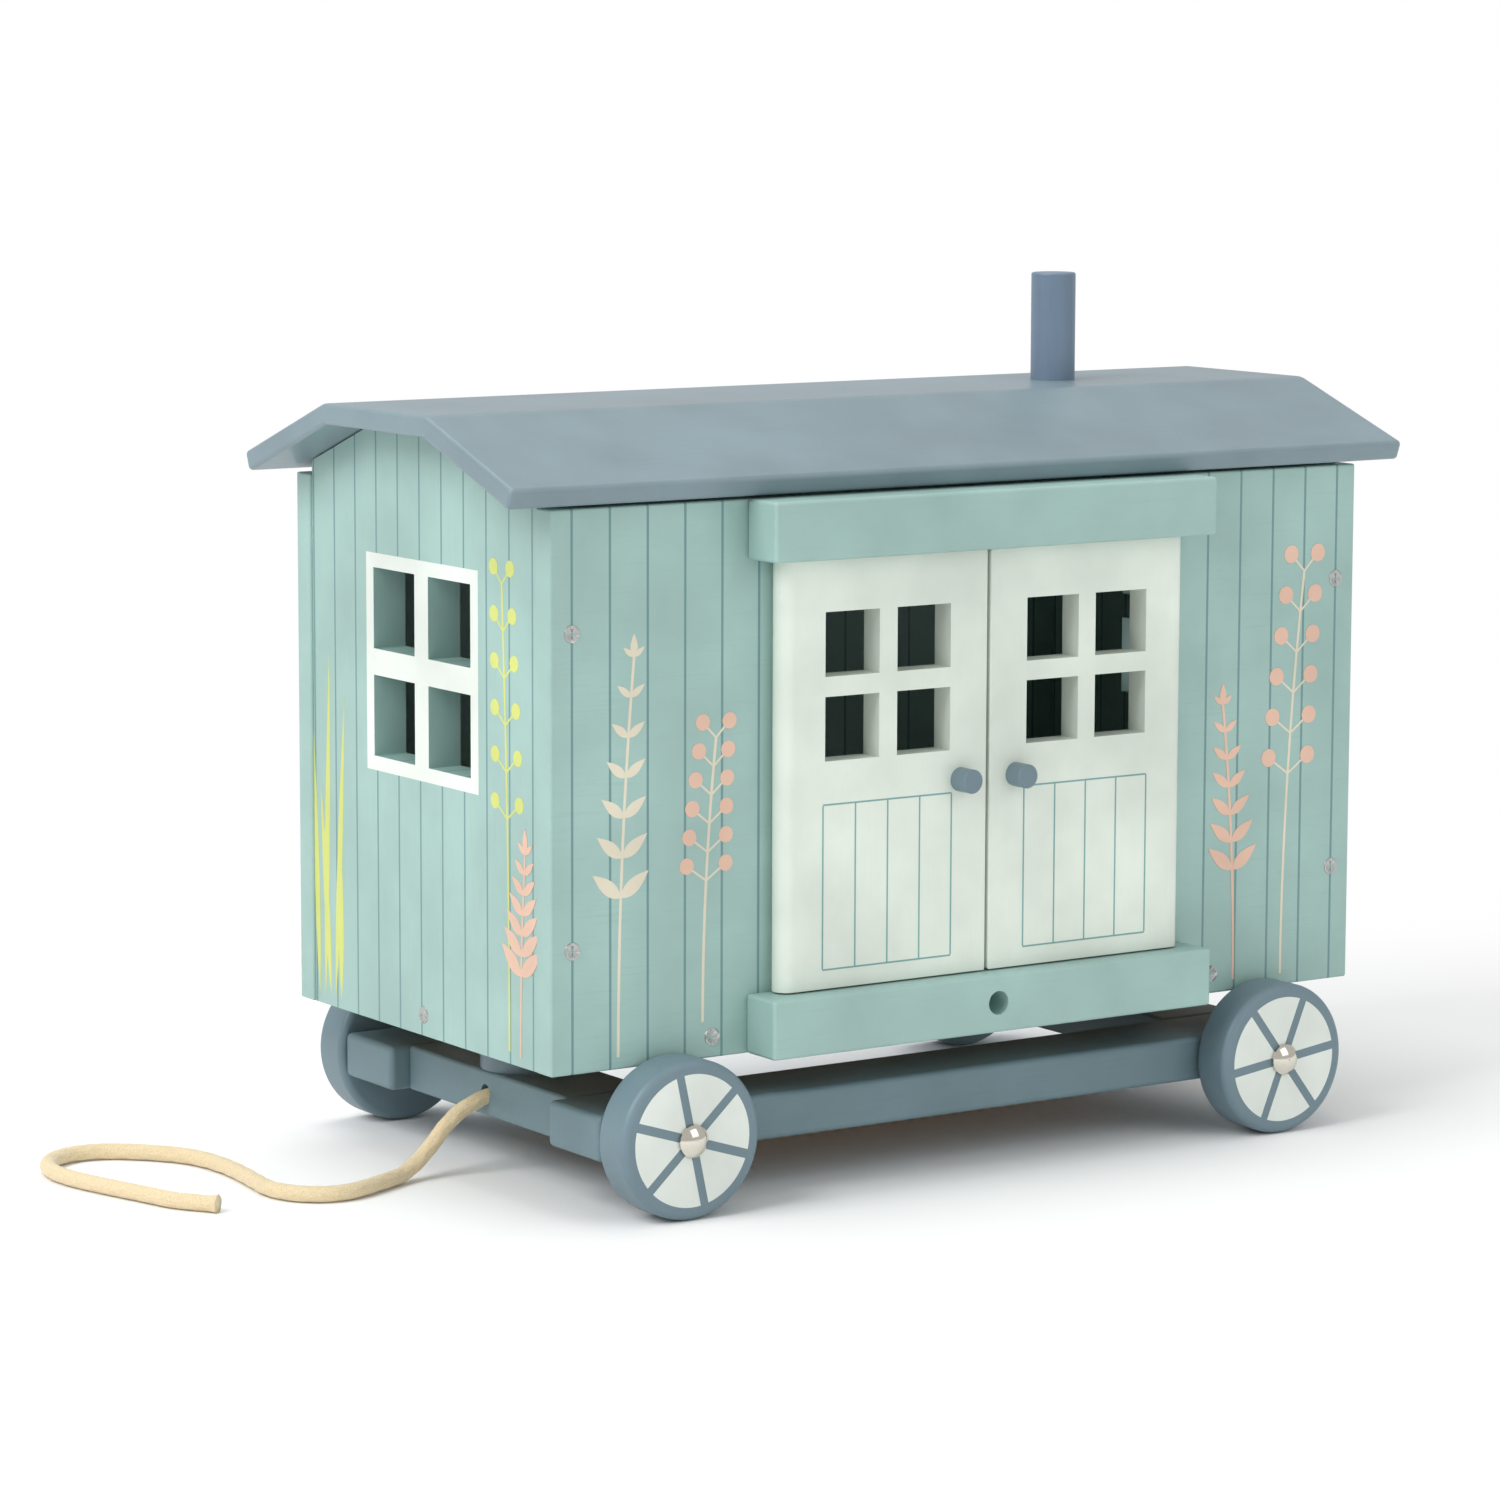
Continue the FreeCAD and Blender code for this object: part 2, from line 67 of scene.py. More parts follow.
class Nodes:
    """Short calls for building one material's nodes."""

    def __init__(self, name):
        self.material = bpy.data.materials.new(name)
        self.material.use_nodes = True
        self.tree = self.material.node_tree
        self.shader = self.tree.nodes["Principled BSDF"]

    def add(self, kind, **values):
        node = self.tree.nodes.new(kind)
        for key, value in values.items():
            setattr(node, key, value)
        return node

    def link(self, source, target):
        self.tree.links.new(source, target)

    def feed(self, socket, value):
        """Set a socket to a plain value, or link another node's output to it."""
        if isinstance(value, (int, float, tuple)):
            socket.default_value = value
        else:
            self.link(value, socket)

    def math(self, operation, first, second):
        node = self.add("ShaderNodeMath", operation=operation)
        self.feed(node.inputs[0], first)
        self.feed(node.inputs[1], second)
        return node.outputs[0]

    def mix(self, factor, first, second):
        node = self.add("ShaderNodeMix", data_type="RGBA")
        self.feed(node.inputs[0], factor)
        self.feed(node.inputs[6], first)
        self.feed(node.inputs[7], second)
        return node.outputs[2]

    def place(self):
        return self.add("ShaderNodeTexCoord").outputs["Object"]

    def noise(self, scale, stretch=(1, 1, 1), detail=4.0):
        mapping = self.add("ShaderNodeMapping")
        mapping.inputs["Scale"].default_value = stretch
        self.link(self.place(), mapping.inputs["Vector"])
        noise = self.add("ShaderNodeTexNoise")
        noise.inputs["Scale"].default_value = scale
        noise.inputs["Detail"].default_value = detail
        self.link(mapping.outputs["Vector"], noise.inputs["Vector"])
        return noise.outputs["Fac"]

    def bump(self, height, strength, distance):
        bump = self.add("ShaderNodeBump")
        bump.inputs["Strength"].default_value = strength
        bump.inputs["Distance"].default_value = distance
        self.link(height, bump.inputs["Height"])
        self.link(bump.outputs["Normal"], self.shader.inputs["Normal"])

    def ramp(self, value, low, high):
        """0 to 1 as a value goes from low to high."""
        node = self.add("ShaderNodeMapRange")
        self.link(value, node.inputs["Value"])
        node.inputs["From Min"].default_value = low
        node.inputs["From Max"].default_value = high
        return node.outputs["Result"]

    def roughness(self, value, low, high):
        """Roughness from low to high as a value goes from 0 to 1."""
        node = self.add("ShaderNodeMapRange")
        self.link(value, node.inputs["Value"])
        node.inputs["To Min"].default_value = low
        node.inputs["To Max"].default_value = high
        self.link(node.outputs["Result"], self.shader.inputs["Roughness"])


GRAIN_SCALE = 900
CLOUD_SCALE = 24
BRUSH_SCALE = 2200
ALONG_GRAIN = {"x": (0.06, 1, 1), "z": (1, 1, 0.06)}
ROUGHNESS_SPREAD = 0.07
LINE_STRENGTH = 0.8


def on_plank_line(nodes, planks):
    """1 on the printed lines between planks and 0 elsewhere."""
    axis, first, step, width = planks
    split = nodes.add("ShaderNodeSeparateXYZ")
    nodes.link(nodes.place(), split.inputs[0])
    shifted = nodes.math("SUBTRACT", split.outputs[axis], first - step / 2)
    wrapped = nodes.math("FLOORED_MODULO", shifted, step)
    away = nodes.math("ABSOLUTE", nodes.math("SUBTRACT", wrapped, step / 2), 0)
    return nodes.math("LESS_THAN", away, width / 2)


def painted_wood(name, colour, grain_axis="x", roughness=0.42, planks=None, line=None,
                 grain=0.35):
    """Satin paint on wood: faint grain showing through, brush variation, printed lines."""
    nodes = Nodes(name)
    streaks = nodes.noise(GRAIN_SCALE, ALONG_GRAIN[grain_axis])
    cloud = nodes.noise(CLOUD_SCALE)
    base = linear(*colour)
    darker = toned(base, 0.86)
    lighter = toned(base, 1.07, 0.95)
    shade = nodes.mix(nodes.ramp(cloud, 0.3, 0.7), darker, lighter)
    paint = nodes.mix(nodes.math("MULTIPLY", nodes.ramp(streaks, 0.55, 0.75), grain),
                      shade, darker)
    if planks:
        covered = nodes.math("MULTIPLY", on_plank_line(nodes, planks), LINE_STRENGTH)
        paint = nodes.mix(covered, paint, linear(*line))
    nodes.link(paint, nodes.shader.inputs["Base Color"])
    nodes.roughness(cloud, roughness - ROUGHNESS_SPREAD, roughness + ROUGHNESS_SPREAD)
    nodes.bump(nodes.math("ADD", streaks, nodes.noise(BRUSH_SCALE)), 0.25, 0.12 * MM)
    return nodes.material


def bare_wood(name, colour):
    nodes = Nodes(name)
    rings = nodes.noise(260, (0.1, 1, 1), 6)
    base = linear(*colour)
    nodes.link(nodes.mix(nodes.ramp(rings, 0.35, 0.7), base, toned(base, 0.6)),
               nodes.shader.inputs["Base Color"])
    nodes.shader.inputs["Roughness"].default_value = 0.62
    nodes.bump(rings, 0.3, 0.2 * MM)
    return nodes.material


def metal(name, colour, roughness, brush):
    nodes = Nodes(name)
    scratches = nodes.noise(1500, brush)
    base = linear(*colour)
    nodes.link(nodes.mix(scratches, toned(base, 0.85), base),
               nodes.shader.inputs["Base Color"])
    nodes.shader.inputs["Metallic"].default_value = 1.0
    nodes.roughness(scratches, roughness * 0.7, roughness * 1.3)
    nodes.bump(scratches, 0.08, 0.05 * MM)
    return nodes.material


def cotton(name, colour):
    nodes = Nodes(name)
    fibres = nodes.noise(3500, (1, 1, 1), 8)
    base = linear(*colour)
    nodes.link(nodes.mix(nodes.ramp(fibres, 0.3, 0.65), toned(base, 0.66), base),
               nodes.shader.inputs["Base Color"])
    nodes.shader.inputs["Roughness"].default_value = 0.9
    nodes.shader.inputs["Sheen Weight"].default_value = 0.3
    nodes.bump(fibres, 0.5, 0.2 * MM)
    return nodes.material


TEAL = (158, 190, 184)
LINE = (88, 130, 133)
BLUE = (124, 143, 151)
# planks: the axis that they are counted along, one line's place, their pitch, the line's width
SIDE_PLANKS = (0, 0.15505, 0.01409, 0.0009)
END_PLANKS = (1, 0.06969, 0.01416, 0.0009)
MATERIALS = {
    "side_wall": painted_wood("teal_side", TEAL, "x", planks=SIDE_PLANKS, line=LINE),
    "end_wall": painted_wood("teal_end", TEAL, "z", planks=END_PLANKS, line=LINE),
    "teal": painted_wood("teal_plain", TEAL, "x"),
    "white": painted_wood("door_white", (222, 231, 220), "z", 0.4, grain=0.15),
    "roof": painted_wood("roof_blue", BLUE, "x", 0.34),
    "chassis": painted_wood("chassis_blue", (108, 132, 140), "x", 0.5, grain=0.6),
    "chimney": painted_wood("chimney_blue", (108, 128, 148), "z", 0.4, grain=0.6),
    "wheel": painted_wood("wheel_blue", (112, 134, 144), "z", 0.42),
    "wood": bare_wood("bare_wood", (196, 152, 104)),
    "steel": metal("axle_steel", (190, 190, 188), 0.3, (1, 0.05, 1)),
    "nickel": metal("cap_nickel", (226, 220, 208), 0.09, (1, 1, 1)),
    "cord": cotton("cord_cotton", (240, 219, 178)),
    "print_white": painted_wood("print_white", (226, 233, 226), "z", 0.45, grain=0.1),
    "print_line": painted_wood("print_line", (120, 165, 165), "z", 0.45, grain=0.1),
    "print_cream": painted_wood("print_cream", (222, 214, 192), "z", 0.5, grain=0.1),
    "print_salmon": painted_wood("print_salmon", (228, 190, 168), "z", 0.5, grain=0.1),
    "print_green": painted_wood("print_green", (208, 215, 120), "z", 0.5, grain=0.1),
}
NODE_FINISH = {
    "front_end_wall": "end_wall", "rear_end_wall": "end_wall", "plain_side_wall": "side_wall",
    "door_side_wall": "side_wall", "door_sill": "teal", "door_header": "teal",
    "front_spacer": "wheel", "rear_spacer": "wheel", "floor_board": "wood",
    "front_door": "white", "rear_door": "white", "chimney": "chimney",
    "pull_cord": "cord", "front_axle": "steel", "rear_axle": "steel",
}
# A node that isn't named above takes the finish of the first of these words in its name.
WORD_FINISH = (("pin", "wood"), ("knob", "wheel"), ("roof", "roof"), ("cap", "nickel"),
               ("wheel", "wheel"), ("rail", "chassis"), ("cross", "chassis"))


def finish_of(node_name):
    if node_name in NODE_FINISH:
        return NODE_FINISH[node_name]
    return next(finish for word, finish in WORD_FINISH if word in node_name)


for node_name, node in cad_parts.items():
    node.data.materials.clear()
    node.data.materials.append(MATERIALS[finish_of(node_name)])


# ---------------------------------------------------------------- mesh pieces
def piece(name, mesh, finish, body, smooth=False):
    item = bpy.data.objects.new(name, mesh)
    bpy.context.scene.collection.objects.link(item)
    mesh.materials.append(MATERIALS[finish])
    for face in mesh.polygons:
        face.use_smooth = smooth
    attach(item, body)
    return item


def finished_mesh(mesh_edit, name):
    """The edited shape as a mesh whose faces all look outwards."""
    bmesh.ops.recalc_face_normals(mesh_edit, faces=mesh_edit.faces)
    mesh = bpy.data.meshes.new(name)
    mesh_edit.to_mesh(mesh)
    mesh_edit.free()
    return mesh


def join_rings(mesh_edit, rings):
    """Faces from each ring of points to the next, and a cap at both ends."""
    for first, second in zip(rings, rings[1:]):
        for index in range(len(first)):
            after = (index + 1) % len(first)
            mesh_edit.faces.new((first[index], first[after], second[after], second[index]))
    mesh_edit.faces.new(list(reversed(rings[0])))
    mesh_edit.faces.new(rings[-1])


def flat_shapes(name, outlines, origin, across, finish, body, skin=SKIN):
    """Thin raised shapes on an upright face: outlines in millimetres, across and up it.

    Each outline stands a little higher than the last, so shapes that cross never share
    a plane.
    """
    mesh_edit = bmesh.new()
    outward = across.cross(UP)
    for number, outline in enumerate(outlines):
        height = skin + number * LAYER
        ground = [mesh_edit.verts.new(origin + (across * a + UP * b) * MM) for a, b in outline]
        lifted = [mesh_edit.verts.new(point.co + outward * height) for point in ground]
        join_rings(mesh_edit, [ground, lifted])
    return piece(name, finished_mesh(mesh_edit, name), finish, body)


def rectangle(left, low, right, high):
    return [(left, low), (right, low), (right, high), (left, high)]


# ---------------------------------------------------------------- painted plants
STALK_WIDTH = 1.0
BUD_STALK_WIDTH = 0.7
STALK_RUNS = 10
LEAF_STEPS = 8
BUD_CORNERS = 12


def leaf(x, y, length, width, angle):
    """A pointed oval leaf growing from (x, y)."""
    side = []
    for step in range(1, LEAF_STEPS):
        along = step / LEAF_STEPS
        side.append((along * length, math.sin(math.pi * along ** 0.8) * width / 2))
    points = [(0, 0)] + side + [(length, 0)] + [(a, -b) for a, b in reversed(side)]
    turn = math.radians(angle)
    return [(x + a * math.cos(turn) - b * math.sin(turn),
             y + a * math.sin(turn) + b * math.cos(turn)) for a, b in points]


def bud(x, y, radius):
    corners = [index * 2 * math.pi / BUD_CORNERS for index in range(BUD_CORNERS)]
    return [(x + radius * math.cos(angle), y + radius * math.sin(angle)) for angle in corners]


def stem(points, width):
    """A thin stalk along points, as one four-sided shape for each run."""
    shapes = []
    for (ax, ay), (bx, by) in zip(points, points[1:]):
        run = math.hypot(bx - ax, by - ay)
        nx = -(by - ay) / run * width / 2
        ny = (bx - ax) / run * width / 2
        shapes.append([(ax + nx, ay + ny), (ax - nx, ay - ny), (bx - nx, by - ny),
                       (bx + nx, by + ny)])
    return shapes


def stalk_line(x, foot, height, lean):
    """Points up a stalk that leans more towards its tip."""
    shares = [step / STALK_RUNS for step in range(STALK_RUNS + 1)]
    return [(x + lean * share ** 2, foot + height * share) for share in shares]


def fern(x, foot, height, lean, size):
    """A stalk with paired leaves that shorten towards its tip."""
    line = stalk_line(x, foot, height, lean)
    leaves = []
    for index in range(4, len(line)):
        px, py = line[index]
        length = size * (1.25 - index / len(line))
        for angle in (38, 142):
            leaves.append(leaf(px, py, length, length * 0.36, angle))
    tip_x, tip_y = line[-1]
    leaves.append(leaf(tip_x, tip_y, size * 0.5, size * 0.18, 90))
    return stem(line, STALK_WIDTH), leaves


def berries(x, foot, height, lean, size):
    """A stalk with round buds on short side stalks."""
    line = stalk_line(x, foot, height, lean)
    stalks = stem(line, STALK_WIDTH)
    buds = []
    for index in range(5, len(line)):
        px, py = line[index]
        for way in (-1, 1):
            bx = px + way * size * (1.5 - index / 14)
            by = py + size * 0.8
            stalks += stem([(px, py), (bx, by)], BUD_STALK_WIDTH)
            buds.append(bud(bx, by, size * 0.42))
    return stalks, buds


# ---------------------------------------------------------------- walls
def wall_face(node_name, outward):
    """The foot of a wall's outer face, mid-way along it, and the level direction across it."""
    low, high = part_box(node_name)
    outer = high if sum(outward) > 0 else low
    foot = Vector((abs(outward.x) * outer.x, abs(outward.y) * outer.y, low.z))
    return foot, UP.cross(outward)


FACES = {
    "door_side": wall_face("door_side_wall", Vector((0, 1, 0))),
    "plain_side": wall_face("plain_side_wall", Vector((0, -1, 0))),
    "front_end": wall_face("front_end_wall", Vector((1, 0, 0))),
    "rear_end": wall_face("rear_end_wall", Vector((-1, 0, 0))),
}
BLADE_WIDTH = 3.4
# blades of grass: place across, height, angle
END_GRASS = ((0, 92, 92), (4, 120, 88), (8, 74, 95), (11, 104, 86), (15, 60, 90))


def decorate(face, plants):
    """Paint (finish, outlines) pairs on a wall; each finish on a wall is one piece."""
    origin, across = FACES[face]
    grouped = {}
    for finish, outlines in plants:
        grouped.setdefault(finish, []).extend(outlines)
    for order, (finish, outlines) in enumerate(grouped.items()):
        flat_shapes("%s_%s" % (face, finish), outlines, origin, across, finish, "hut",
                    SKIN + order * SKIN_STEP)


def side_plants(mirror):
    tall_stalk, tall_leaves = fern(-138 * mirror, 4, 128, 6 * mirror, 15)
    low_stalks, low_buds = berries(-106 * mirror, 12, 92, 5 * mirror, 6.5)
    small_stalk, small_leaves = fern(112 * mirror, 4, 96, -6 * mirror, 15)
    high_stalks, high_buds = berries(133 * mirror, 4, 140, 8 * mirror, 7.5)
    return [("print_cream", tall_stalk + tall_leaves), ("print_cream", low_stalks),
            ("print_salmon", low_buds), ("print_salmon", small_stalk + small_leaves),
            ("print_cream", high_stalks), ("print_salmon", high_buds)]


def end_plants(way):
    blades = [leaf(62 * way - 8 + place, 3, height, BLADE_WIDTH, angle)
              for place, height, angle in END_GRASS]
    stalks, buds = berries(-55 * way, 4, 150, 4 * way, 6.5)
    low_stalk, low_leaves = fern(-62 * way, 3, 66, -3 * way, 17)
    return [("print_green", blades), ("print_green", stalks + buds),
            ("print_salmon", low_stalk + low_leaves)]


WINDOW_PANE = 27
WINDOW_BAR = 8.8
WINDOW_MIDDLE = 120.7  # above the foot of the wall
WINDOW_BORDER = 4.8


def window_paint(end):
    """The white border and bars around an end wall's four panes."""
    origin, across = FACES[end]
    middle = WINDOW_MIDDLE
    bar = WINDOW_BAR / 2
    panes = bar + WINDOW_PANE
    outer = panes + WINDOW_BORDER
    bars = [rectangle(-outer, middle + panes, outer, middle + outer),
            rectangle(-outer, middle - outer, outer, middle - panes),
            rectangle(-outer, middle - panes, -panes, middle + panes),
            rectangle(panes, middle - panes, outer, middle + panes),
            rectangle(-bar, middle - panes, bar, middle + panes),
            rectangle(-panes, middle - bar, -bar, middle + bar),
            rectangle(bar, middle - bar, panes, middle + bar)]
    flat_shapes(end + "_window_paint", bars, origin, across, "print_white", "hut")


decorate("door_side", side_plants(1))
decorate("plain_side", side_plants(-1))
decorate("front_end", end_plants(-1))
decorate("rear_end", end_plants(1))
window_paint("front_end")
window_paint("rear_end")

# ---------------------------------------------------------------- door panel lines
LINE_WIDTH = 0.55
PANEL_HALF = 25.5
PANEL_SHIFT = 0.8  # how far a panel's middle is from its door's middle
PANEL_FOOT = 6
PANEL_HEAD = 60
PANEL_BOARDS = 4


def door_panel(door, shift):
    """The outline of a panel and the lines between its boards, on a door's outer face."""
    low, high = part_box(door)
    origin = Vector(((low.x + high.x) / 2, high.y, low.z))
    left = shift - PANEL_HALF
    right = shift + PANEL_HALF
    lines = [rectangle(left, PANEL_FOOT, right, PANEL_FOOT + LINE_WIDTH),
             rectangle(left, PANEL_HEAD, right, PANEL_HEAD + LINE_WIDTH)]
    for board in range(PANEL_BOARDS + 1):
        middle = left + (right - left) * board / PANEL_BOARDS
        lines.append(rectangle(middle - LINE_WIDTH / 2, PANEL_FOOT + LINE_WIDTH,
                               middle + LINE_WIDTH / 2, PANEL_HEAD))
    flat_shapes(door + "_panel_lines", lines, origin, Vector((-1, 0, 0)), "print_line",
                door)


door_panel("front_door", PANEL_SHIFT)
door_panel("rear_door", -PANEL_SHIFT)

# ---------------------------------------------------------------- wheels
SPOKES = 6
SPOKE_HALF = 1.5
DISC_RADIUS = 21.6
ARC_RUNS = 12


def wheel_paint(wheel, first_angle):
    """The white wedges between a wheel's spokes, on its outer face."""
    low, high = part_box(wheel)
    outward = 1 if "left" in wheel else -1
    middle = (low + high) / 2
    origin = Vector((middle.x, high.y if outward > 0 else low.y, middle.z))
    turn = 2 * math.pi / SPOKES
    trim = math.asin(SPOKE_HALF / DISC_RADIUS)
    tip = SPOKE_HALF / math.sin(turn / 2)
    wedges = []
    for spoke in range(SPOKES):
        start = math.radians(first_angle) + spoke * turn
        arc = [start + trim + (turn - 2 * trim) * run / ARC_RUNS for run in range(ARC_RUNS + 1)]
        points = [(DISC_RADIUS * math.cos(angle), DISC_RADIUS * math.sin(angle))
                  for angle in arc]
        points.append((tip * math.cos(start + turn / 2), tip * math.sin(start + turn / 2)))
        wedges.append(points)
    flat_shapes(wheel + "_paint", wedges, origin, Vector((-outward, 0, 0)), "print_white",
                wheel)


wheel_paint("front_left_wheel", 42.3)
wheel_paint("rear_left_wheel", 7.5)
wheel_paint("front_right_wheel", 17.7)
wheel_paint("rear_right_wheel", 52.5)

# ---------------------------------------------------------------- screws
# a screw head as rings from its middle outwards: radius, height above the wall
HEAD_RINGS = ((0.15, 0.0), (0.9, 0.05), (2.3, 0.3), (2.8, 0.22), (3.0, -0.2))
HEAD_CORNERS = 32
CROSS_DEPTH = 0.2
CROSS_REACH = (0.5, 2.35)  # radii that the cross is cut between
CROSS_HALF = 0.4           # half the width of an arm, as the sine of twice its angle


def screw(name, at, outward):
    """A cross-head screw whose dished head stands slightly proud of the wall."""
    mesh_edit = bmesh.new()
    rings = []
    for radius, height in HEAD_RINGS:
        ring = []
        for corner in range(HEAD_CORNERS):
            angle = 2 * math.pi * corner / HEAD_CORNERS
            in_arm = abs(math.sin(2 * angle)) < CROSS_HALF
            in_reach = CROSS_REACH[0] < radius < CROSS_REACH[1]
            level = height - (CROSS_DEPTH if in_arm and in_reach else 0)
            ring.append(mesh_edit.verts.new((radius * math.cos(angle) * MM,
                                             radius * math.sin(angle) * MM, level * MM)))
        rings.append(ring)
    join_rings(mesh_edit, rings)
    turn = UP.rotation_difference(outward).to_matrix().to_4x4()
    bmesh.ops.transform(mesh_edit, matrix=Matrix.Translation(at) @ turn,
                        verts=mesh_edit.verts)
    piece(name, finished_mesh(mesh_edit, name), "steel", "hut")


SIDE_SCREW_X = 155
SIDE_SCREW_HEIGHTS = (188.6, 87.8)
FLOOR_SCREW_X = 102.3
FLOOR_SCREW_HEIGHT = 54.9


def side_screws(face, outward):
    origin, _ = FACES[face]
    spots = [(x, z) for x in (-SIDE_SCREW_X, SIDE_SCREW_X) for z in SIDE_SCREW_HEIGHTS]
    spots += [(x, FLOOR_SCREW_HEIGHT) for x in (-FLOOR_SCREW_X, FLOOR_SCREW_X)]
    for number, (x, z) in enumerate(spots):
        screw("%s_screw_%d" % (face, number), Vector((x * MM, origin.y, z * MM)), outward)


def end_screw(face, outward):
    origin, _ = FACES[face]
    screw(face + "_screw", Vector((origin.x, 0, FLOOR_SCREW_HEIGHT * MM)), outward)


side_screws("door_side", Vector((0, 1, 0)))
side_screws("plain_side", Vector((0, -1, 0)))
end_screw("front_end", Vector((1, 0, 0)))
end_screw("rear_end", Vector((-1, 0, 0)))

# ---------------------------------------------------------------- pull cord
CORD = 5.3 * MM
LIE = 2.7  # height of the cord's middle where it lies on the floor
CORD_ROUTE = [
    (126.5, 0, 26), (146, 0, 26), (165.5, -1, LIE), (184, 8.5, LIE), (199, 15, LIE),
    (211.5, 11, LIE), (218.5, -2.5, LIE), (215.5, -20, LIE), (213.5, -42, LIE),
    (216, -61, LIE), (226, -75, LIE), (238, -85, LIE), (250.5, -86, LIE), (261, -79, LIE),
    (266, -66.5, LIE), (265, -51.5, LIE), (260, -34, LIE), (254.5, -17, LIE), (251, -4, LIE),
    (242, 6.5, LIE),
]
CORD_STEP = 0.55
CORD_CORNERS = 40
BRAID_STRANDS = 5
BRAID_PITCH = 9 * MM
BRAID_DEPTH = 0.045  # as a share of the cord's radius
FLARE = 0.18         # how much wider the cut end spreads
FLARE_LENGTH = 3


def cord_line():
    """The cord's route as points along a curve."""
    route = bpy.data.curves.new("cord_route", "CURVE")
    route.dimensions = "3D"
    route.resolution_u = 24
    spline = route.splines.new("NURBS")
    spline.points.add(len(CORD_ROUTE) - 1)
    for point, (x, y, z) in zip(spline.points, CORD_ROUTE):
        point.co = (x * MM, y * MM, z * MM, 1)
    spline.order_u = 3
    spline.use_endpoint_u = True
    holder = bpy.data.objects.new("cord_route", route)
    bpy.context.scene.collection.objects.link(holder)
    bpy.context.view_layer.update()
    mesh = bpy.data.meshes.new_from_object(holder)
    bpy.data.objects.remove(holder)
    return [vertex.co.copy() for vertex in mesh.vertices]


def even_path(points, step):
    """The same line as points a step apart."""
    result = [points[0]]
    spare = step
    for first, second in zip(points, points[1:]):
        run = (second - first).length
        while run >= spare:
            first = first + (second - first).normalized() * spare
            run -= spare
            spare = step
            result.append(first)
        spare -= run
    return result + [points[-1]]


def braided_tube(points, radius):
    """A round braid: two sets of strands crossing, as a height pattern on a fine tube."""
    mesh_edit = bmesh.new()
    rings = []
    side = Vector((0, 1, 0))
    length = 0
    last = len(points) - 1
    for index, at in enumerate(points):
        ahead = points[min(index + 1, last)] - points[max(index - 1, 0)]
        ahead.normalize()
        side = (side - ahead * side.dot(ahead)).normalized()
        other = ahead.cross(side)
        if index:
            length += (at - points[index - 1]).length
        twist = 2 * math.pi * length / BRAID_PITCH
        left_to_run = (last - index) * CORD_STEP
        flare = 1 + FLARE * max(0, 1 - left_to_run / FLARE_LENGTH)
        ring = []
        for corner in range(CORD_CORNERS):
            angle = 2 * math.pi * corner / CORD_CORNERS
            height = max(math.cos(BRAID_STRANDS * angle + twist),
                         math.cos(BRAID_STRANDS * angle - twist))
            reach = radius * flare * (1 - BRAID_DEPTH + BRAID_DEPTH * height)
            ring.append(mesh_edit.verts.new(at + (side * math.cos(angle)
                                                  + other * math.sin(angle)) * reach))
        rings.append(ring)
    join_rings(mesh_edit, rings)
    return finished_mesh(mesh_edit, "pull_cord_braid")


cord_points = even_path(cord_line(), CORD_STEP * MM)
braid = piece("pull_cord_braid", braided_tube(cord_points, CORD / 2), "cord", "hut",
              smooth=True)
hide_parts("pull_cord")

# ---------------------------------------------------------------- stage, light, camera
FLOOR_REACH = 6.0
FLOOR_HEIGHT = -0.2 * MM
FADE_START = 0.34
FADE_END = 0.62


def floor_material():
    """A pale floor that turns to plain white away from the part, so no horizon shows."""
    nodes = Nodes("studio_floor")
    nodes.shader.inputs["Base Color"].default_value = (0.95, 0.95, 0.95, 1)
    nodes.shader.inputs["Specular IOR Level"].default_value = 0.1
    nodes.shader.inputs["Roughness"].default_value = 0.9
    distance = nodes.add("ShaderNodeVectorMath", operation="LENGTH")
    nodes.link(nodes.place(), distance.inputs[0])
    white = nodes.add("ShaderNodeEmission")
    blend = nodes.add("ShaderNodeMixShader")
    nodes.link(nodes.ramp(distance.outputs["Value"], FADE_START, FADE_END), blend.inputs[0])
    nodes.link(nodes.shader.outputs[0], blend.inputs[1])
    nodes.link(white.outputs[0], blend.inputs[2])
    nodes.link(blend.outputs[0], nodes.tree.nodes["Material Output"].inputs["Surface"])
    return nodes.material


def studio_floor():
    corners = [(x, y, FLOOR_HEIGHT) for x, y in
               rectangle(-FLOOR_REACH, -FLOOR_REACH, FLOOR_REACH, FLOOR_REACH)]
    mesh = bpy.data.meshes.new("studio_floor")
    mesh.from_pydata(corners, [], [(0, 1, 2, 3)])
    mesh.materials.append(floor_material())
    floor = bpy.data.objects.new("studio_floor", mesh)
    bpy.context.scene.collection.objects.link(floor)


WORLD_LIGHT = 0.62  # strength of the white world as light
WORLD_SEEN = 1.0    # its strength where the camera sees it


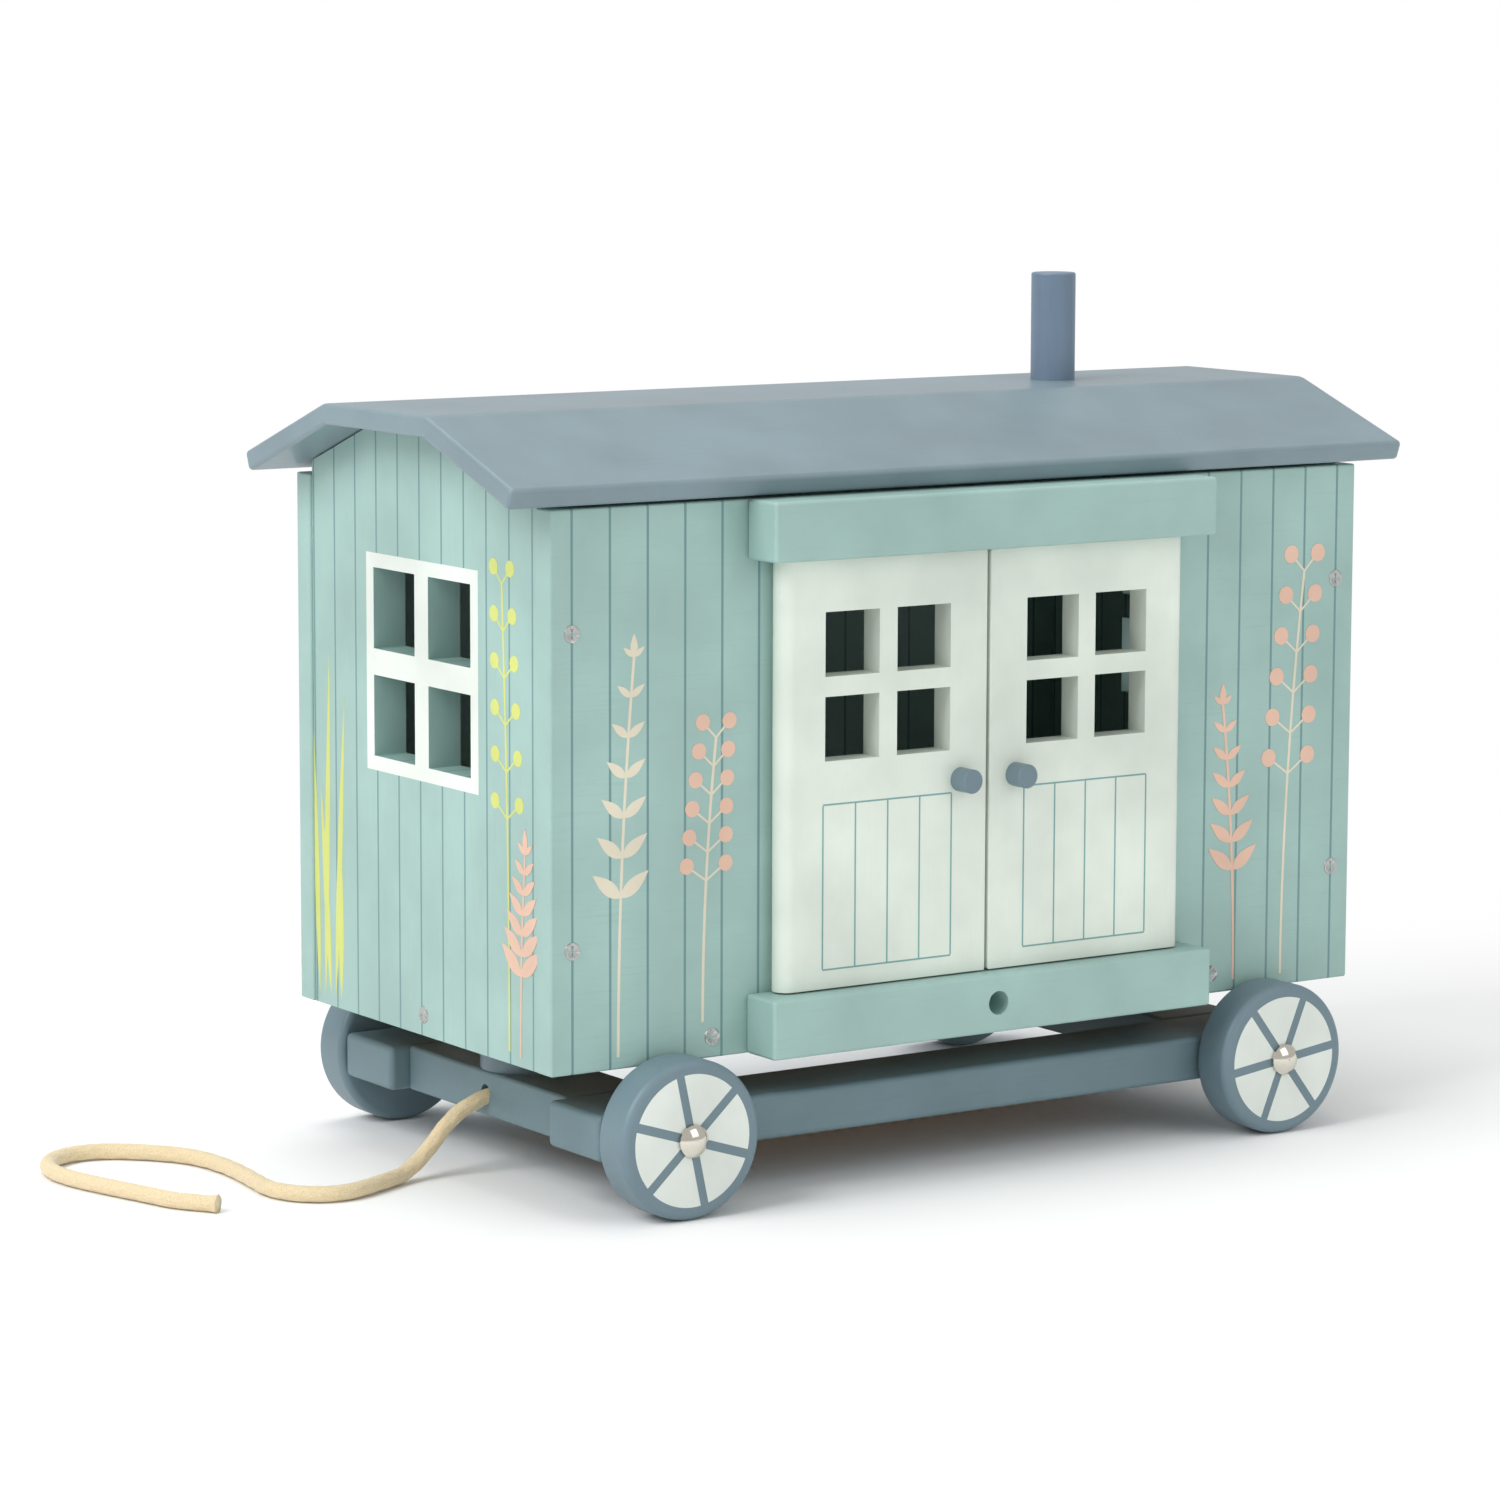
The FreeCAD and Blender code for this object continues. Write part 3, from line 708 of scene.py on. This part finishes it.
def studio_world():
    world = bpy.data.worlds.new("studio")
    bpy.context.scene.world = world
    world.use_nodes = True
    tree = world.node_tree
    background = tree.nodes["Background"]
    background.inputs["Color"].default_value = (1, 1, 1, 1)
    paths = tree.nodes.new("ShaderNodeLightPath")
    strength = tree.nodes.new("ShaderNodeMapRange")
    tree.links.new(paths.outputs["Is Camera Ray"], strength.inputs["Value"])
    strength.inputs["To Min"].default_value = WORLD_LIGHT
    strength.inputs["To Max"].default_value = WORLD_SEEN
    tree.links.new(strength.outputs["Result"], background.inputs["Strength"])


def area_light(name, at, target, size, power):
    data = bpy.data.lights.new(name, "AREA")
    data.size = size
    data.energy = power
    lamp = bpy.data.objects.new(name, data)
    bpy.context.scene.collection.objects.link(lamp)
    lamp.location = at
    lamp.rotation_euler = (Vector(target) - Vector(at)).to_track_quat("-Z", "Y").to_euler()


# the photograph's camera
CAMERA_PLACE = (0.9980, 1.4509, 0.3787)
YAW = math.radians(33.66)
PITCH = math.radians(7.62)
ROLL = math.radians(0.17)


def photo_camera():
    data = bpy.data.cameras.new("camera")
    data.sensor_width = 36
    data.lens = 124.06
    data.shift_x = -0.0027
    data.shift_y = -0.0243
    data.clip_end = 50
    camera = bpy.data.objects.new("camera", data)
    bpy.context.scene.collection.objects.link(camera)
    forward = Vector((-math.sin(YAW) * math.cos(PITCH), -math.cos(YAW) * math.cos(PITCH),
                      -math.sin(PITCH)))
    level = Vector((-math.cos(YAW), math.sin(YAW), 0))
    upright = level.cross(forward)
    right = level * math.cos(ROLL) + upright * math.sin(ROLL)
    top = upright * math.cos(ROLL) - level * math.sin(ROLL)
    turn = Matrix((right, top, -forward)).transposed().to_4x4()
    camera.matrix_world = Matrix.Translation(CAMERA_PLACE) @ turn
    bpy.context.scene.camera = camera


studio_floor()
studio_world()
area_light("key", (1.5, 0.2, 1.3), (0, 0, 0.12), 1.0, 19)
area_light("fill", (-0.6, 1.8, 1.2), (0, 0, 0.12), 1.4, 7)
area_light("top", (0, -0.4, 2.0), (0, 0, 0.1), 1.2, 12)
photo_camera()
bpy.context.scene.view_settings.view_transform = "Standard"
